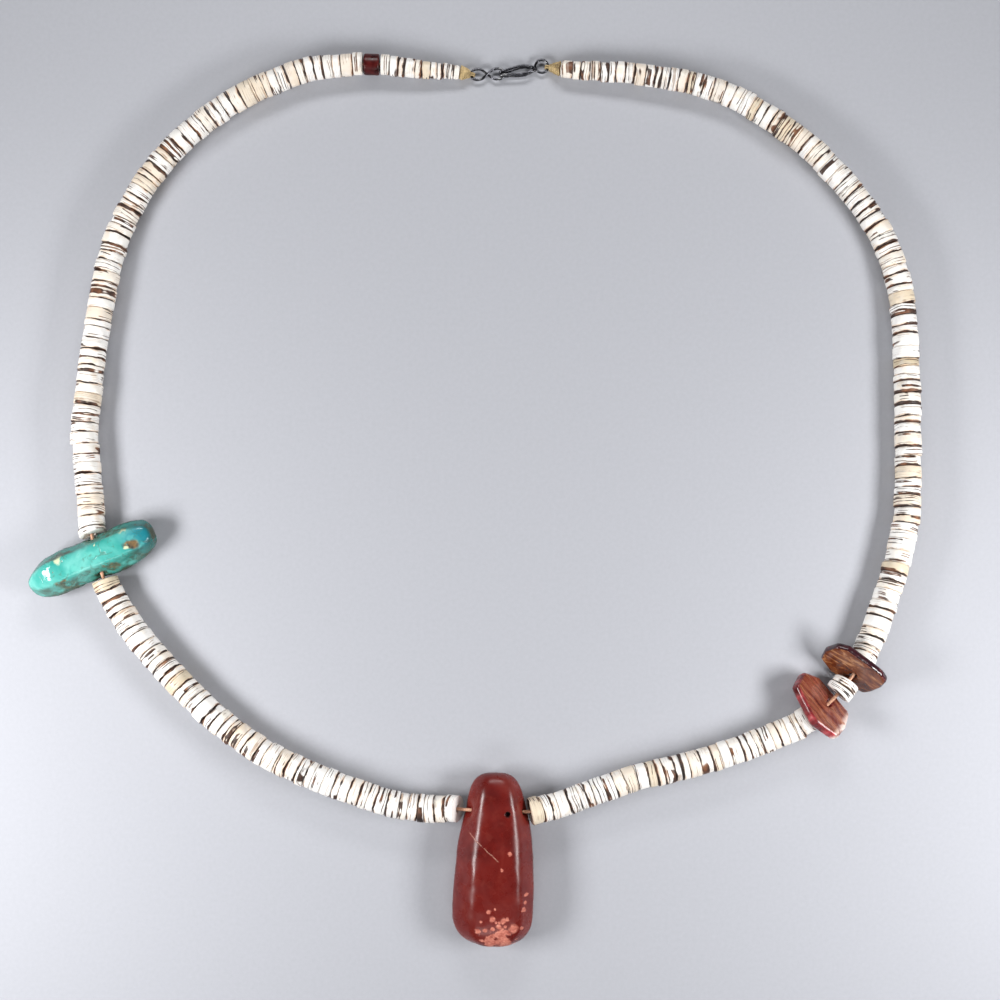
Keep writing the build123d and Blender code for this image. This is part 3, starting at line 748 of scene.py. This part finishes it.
def make_disc(disc, dice, bare_low, bare_high):
    """One drilled disc with softened rims, its ends cut as the string bends."""
    bm = bmesh.new()
    for layer in DISC_LAYERS:
        bm.verts.layers.float_vector.new(layer)
    place_layer, depth_layer, pick_layer = (bm.verts.layers.float_vector[name] for name in DISC_LAYERS)
    radius, bore, axis, centre = disc["radius"], disc["bore"], disc["axis"], disc["centre"]
    (low_point, low_normal), (high_point, high_normal) = disc["ends"]
    thickness = (high_point - low_point).dot(axis)
    around = axis.to_track_quat("Z", "Y").to_matrix().to_4x4()
    seat = Matrix.Translation(centre) @ around @ Matrix.Rotation(dice.uniform(0, math.tau), 4, "Z")

    bmesh.ops.create_cone(
        bm, cap_ends=True, segments=disc_sides, radius1=radius, radius2=radius, depth=thickness
    )
    caps = [face for face in bm.faces if len(face.verts) > 4]
    rims = [edge for face in caps for edge in face.edges]
    edge = disc_edge * dice.uniform(1 - edge_spread, 1 + edge_spread)
    bmesh.ops.bevel(bm, geom=rims, offset=edge, segments=2, profile=0.5, affect="EDGES", material=-1)
    caps = [face for face in bm.faces if len(face.verts) > 4]
    bmesh.ops.inset_individual(bm, faces=caps, thickness=radius - edge - bore, use_even_offset=True)
    hole = [edge for face in caps for edge in face.edges]
    bmesh.ops.delete(bm, geom=caps, context="FACES_ONLY")
    bmesh.ops.bridge_loops(bm, edges=hole)
    bmesh.ops.recalc_face_normals(bm, faces=bm.faces)

    shift = Vector((dice.uniform(-1, 1), dice.uniform(-1, 1), dice.uniform(-1, 1)))
    kind = dice.random()
    coat_low = bare_coat if bare_low else dice.choice(LOW_COATS)
    coat_high = bare_coat if bare_high else dice.choice(HIGH_COATS)
    if dice.random() < thick_coat_share:
        coat_low += thick_coat
    for vert in bm.verts:
        local = vert.co.copy()
        point = seat @ local
        flat_low = local.z + thickness / 2
        flat_high = thickness / 2 - local.z
        tilted_low = (point - low_point).dot(low_normal) / low_normal.dot(axis)
        tilted_high = (high_point - point).dot(high_normal) / high_normal.dot(axis)
        share = flat_low / thickness
        move = (flat_low - tilted_low) * (1 - share) + (tilted_high - flat_high) * share
        ripple = noise.noise(local * 900 + shift * 50) * face_ripple
        on_rim = local.xy.length > bore * 1.3
        lump = 1 + rim_lumps * noise.noise(local * 420 + shift * 90) * on_rim
        vert.co = seat @ Vector((local.x * lump, local.y * lump, local.z)) + axis * (move + ripple)
        vert[place_layer] = local + shift * 0.1
        vert[depth_layer] = (flat_low, flat_high, shift.x)
        vert[pick_layer] = (kind, coat_low, coat_high)
    return bm


def make_discs(node, finish):
    """A string's discs, each worked as its own piece of shell."""
    dice = random.Random(node)
    bm = bmesh.new()
    one = bpy.data.meshes.new("one_disc")
    discs = read_discs(node)
    for index, disc in enumerate(discs):
        made = make_disc(disc, dice, index == 0, index == len(discs) - 1)
        made.to_mesh(one)
        made.free()
        bm.from_mesh(one)
    bpy.data.meshes.remove(one)
    for face in bm.faces:
        face.smooth = True
    made = piece_from(bm, node.replace("heishi", "shell_discs"), finish, node, "shell_disc")
    made.data.set_sharp_from_angle(angle=math.radians(50))
    return discs


def polished(node, name, finish, slot, *, grain, relief, lumps, seed, rubs=4, pit=None):
    """A stone worked from its solid: remeshed fine, then given soft lumps and dips."""
    bm = merged_copy(node)
    if pit:
        close_pit(bm, pit)
    mesh = bpy.data.meshes.new(name)
    bm.to_mesh(mesh)
    bm.free()
    rough = bpy.data.objects.new(name + "_rough", mesh)
    bpy.context.scene.collection.objects.link(rough)
    fine = rough.modifiers.new("fine", "REMESH")
    fine.mode = "VOXEL"
    fine.voxel_size = grain
    remeshed = rough.evaluated_get(bpy.context.evaluated_depsgraph_get())
    solid = bpy.data.meshes.new_from_object(remeshed)
    bpy.data.objects.remove(rough)
    bm = bmesh.new()
    bm.from_mesh(solid)
    for _ in range(rubs):
        bmesh.ops.smooth_vert(
            bm,
            verts=bm.verts,
            factor=0.5,
            use_axis_x=True,
            use_axis_y=True,
            use_axis_z=True,
        )
    shift = Vector((seed, seed * 2, seed * 3))
    bm.normal_update()
    for vert in bm.verts:
        lump = noise.fractal(vert.co * lumps + shift, 0.6, 2.0, 3)
        vert.co += vert.normal * (lump * relief)
    if pit:
        open_pit(bm, pit)
    for face in bm.faces:
        face.smooth = True
    return piece_from(bm, name, finish, node, slot)


def above_pit(bm, pit, reach):
    """The front vertices within reach of the pit's middle."""
    x, y, _, _ = pit
    half_height = max(vert.co.z for vert in bm.verts) / 2
    front = [vert for vert in bm.verts if vert.co.z > half_height]
    return [vert for vert in front if math.hypot(vert.co.x - x, vert.co.y - y) < reach]


def close_pit(bm, pit):
    """Takes the walls of the front hole away and closes the skin over it."""
    _, _, radius, _ = pit
    bmesh.ops.delete(bm, geom=above_pit(bm, pit, radius * 1.1), context="VERTS")
    rim = [edge for edge in bm.edges if edge.is_boundary]
    bmesh.ops.holes_fill(bm, edges=rim)
    bmesh.ops.triangulate(bm, faces=[face for face in bm.faces if len(face.verts) > 4])
    bmesh.ops.recalc_face_normals(bm, faces=bm.faces)


def open_pit(bm, pit):
    """Sinks the front hole, with a soft lip, into a fine patch of the polished skin."""
    x, y, radius, depth = pit
    near = set(above_pit(bm, pit, radius * 2))
    edges = [edge for edge in bm.edges if edge.verts[0] in near and edge.verts[1] in near]
    bmesh.ops.subdivide_edges(bm, edges=edges, cuts=2, use_grid_fill=True)
    lip, floor_rim = 1.25, 0.70
    for vert in above_pit(bm, pit, radius * 1.5):
        away = math.hypot(vert.co.x - x, vert.co.y - y) / radius
        share = min(1.0, max(0.0, (lip - away) / (lip - floor_rim)))
        vert.co.z -= depth * share * share * (3 - 2 * share)


def make_winding(name, finish, spot, way, length):
    """Thread wound round a tapered binding."""
    bm = bmesh.new()
    upright = Matrix.Rotation(math.radians(90), 4, "X")
    start = Matrix.Translation((winding_wide, 0, winding_strand)) @ upright
    bmesh.ops.create_circle(bm, segments=winding_sides, radius=winding_strand, matrix=start)
    steps = winding_turns * winding_steps
    bmesh.ops.spin(
        bm,
        geom=bm.verts[:] + bm.edges[:],
        axis=(0, 0, 1),
        dvec=(0, 0, (length - winding_strand * 2) / steps),
        angle=math.tau * winding_turns,
        steps=steps,
    )
    bmesh.ops.edgeloop_fill(bm, edges=[edge for edge in bm.edges if edge.is_boundary])
    bmesh.ops.recalc_face_normals(bm, faces=bm.faces)
    foot = spot + way * winding_seat
    seat = Matrix.Translation(foot) @ way.to_track_quat("Z", "Y").to_matrix().to_4x4()
    for vert in bm.verts:
        share = min(1.0, max(0.0, vert.co.z / length))
        size = (winding_wide + (winding_narrow - winding_wide) * share) / winding_wide
        size *= 1 + winding_lumps * noise.noise(vert.co * 1500)
        vert.co = seat @ Vector((vert.co.x * size, vert.co.y * size, vert.co.z))
    for face in bm.faces:
        face.smooth = True
    return piece_from(bm, name, finish, None, "thread_binding")


def smooth_copy(node, name, finish, slot, sharp):
    """A node's own shape with its triangles joined and its curves shaded smooth."""
    bm = merged_copy(node)
    for face in bm.faces:
        face.smooth = True
    made = piece_from(bm, name, finish, node, slot)
    made.data.set_sharp_from_angle(angle=math.radians(sharp))
    return made


shell = shell_finish()
strings = {string: make_discs(string, shell) for string in HEISHI}

wire = wire_finish()
smooth_copy("clasp_eye", "eye_wire", wire, "dark_silver", 60)
smooth_copy("clasp_hook", "hook_wire", wire, "dark_silver", 60)
binding = thread_finish("ochre_binding", tone(0.78, 0.68, 0.49), tone(0.26, 0.18, 0.08), 1000)
smooth_copy("cord_wrap_left", "binding_left", binding, "thread_binding", 60)
smooth_copy("cord_wrap_right", "binding_right", binding, "thread_binding", 60)
spot, way = strings["heishi_top_left"][0]["ends"][0]
make_winding("winding_left", binding, spot, -way, 2.6 * mm)
spot, way = strings["heishi_right"][-1]["ends"][1]
make_winding("winding_right", binding, spot, way, 2.8 * mm)
cord = thread_finish("peach_thread", tone(0.88, 0.68, 0.56), tone(0.64, 0.42, 0.30), 900)
smooth_copy("thread", "string_thread", cord, "string_thread", 60)
smooth_copy("red_bead", "maroon_bead", red_bead_finish(), "dark_red_bead", 40)

polished(
    "turquoise_nugget",
    "turquoise_pebble",
    turquoise_finish(),
    "turquoise",
    grain=0.32 * mm,
    relief=0.16 * mm,
    lumps=170,
    seed=3,
    rubs=30,
)
polished(
    "pendant",
    "red_pendant",
    pendant_finish(),
    "red_stone",
    grain=0.36 * mm,
    relief=0.10 * mm,
    lumps=120,
    seed=7,
    rubs=60,
    pit=FRONT_PIT,
)
tab_work = {"grain": 0.2 * mm, "relief": 0.04 * mm, "lumps": 300}
polished("red_shell_tab", "red_tab", striped_finish(), "red_shell", seed=5, **tab_work)
polished("brown_shell_tab", "brown_tab", marbled_finish(), "brown_shell", seed=9, **tab_work)


# Floor, light and camera


bm = bmesh.new()
floor_reach = 1.6
floor_middle = Matrix.Translation((0.007, 0, 0))
bmesh.ops.create_grid(bm, x_segments=1, y_segments=1, size=floor_reach, matrix=floor_middle)
floor = piece_from(bm, "floor", floor_finish())


def soft_light(name, place, power, size):
    """A soft panel beside the necklace that looks towards its middle."""
    light = bpy.data.lights.new(name, "AREA")
    light.shape = "RECTANGLE"
    light.size, light.size_y = size
    light.energy = power
    holder = bpy.data.objects.new(name, light)
    holder.location = Vector(place) + view_middle
    way = Vector((0, place[1] * 0.4, 0)) + view_middle - holder.location
    holder.rotation_euler = way.to_track_quat("-Z", "Y").to_euler()
    bpy.context.scene.collection.objects.link(holder)


# Place from the middle of the view in metres, power in watts, width and depth in metres
soft_light("light_left", (-0.25, -0.08, 0.17), 0.94, (0.16, 0.07))
soft_light("light_right", (0.25, -0.08, 0.17), 0.84, (0.16, 0.07))
soft_light("light_near", (0.0, -0.33, 0.22), 0.22, (0.24, 0.07))
soft_light("light_far", (0.0, 0.33, 0.22), 0.66, (0.24, 0.07))

world = bpy.data.worlds.new("soft_room")
world.use_nodes = True
room = world.node_tree.nodes["Background"]
room.inputs["Color"].default_value = (0.93, 0.96, 1.0, 1)
room.inputs["Strength"].default_value = 0.10
bpy.context.scene.world = world
bpy.context.scene.view_settings.view_transform = "Standard"

lens = bpy.data.cameras.new("camera")
lens.sensor_width = 36
lens.lens = 36 * view_height / view_width
lens.clip_start = 0.01
camera = bpy.data.objects.new("camera", lens)
camera.location = view_middle + Vector((0, 0, view_height))
bpy.context.scene.collection.objects.link(camera)
bpy.context.scene.camera = camera
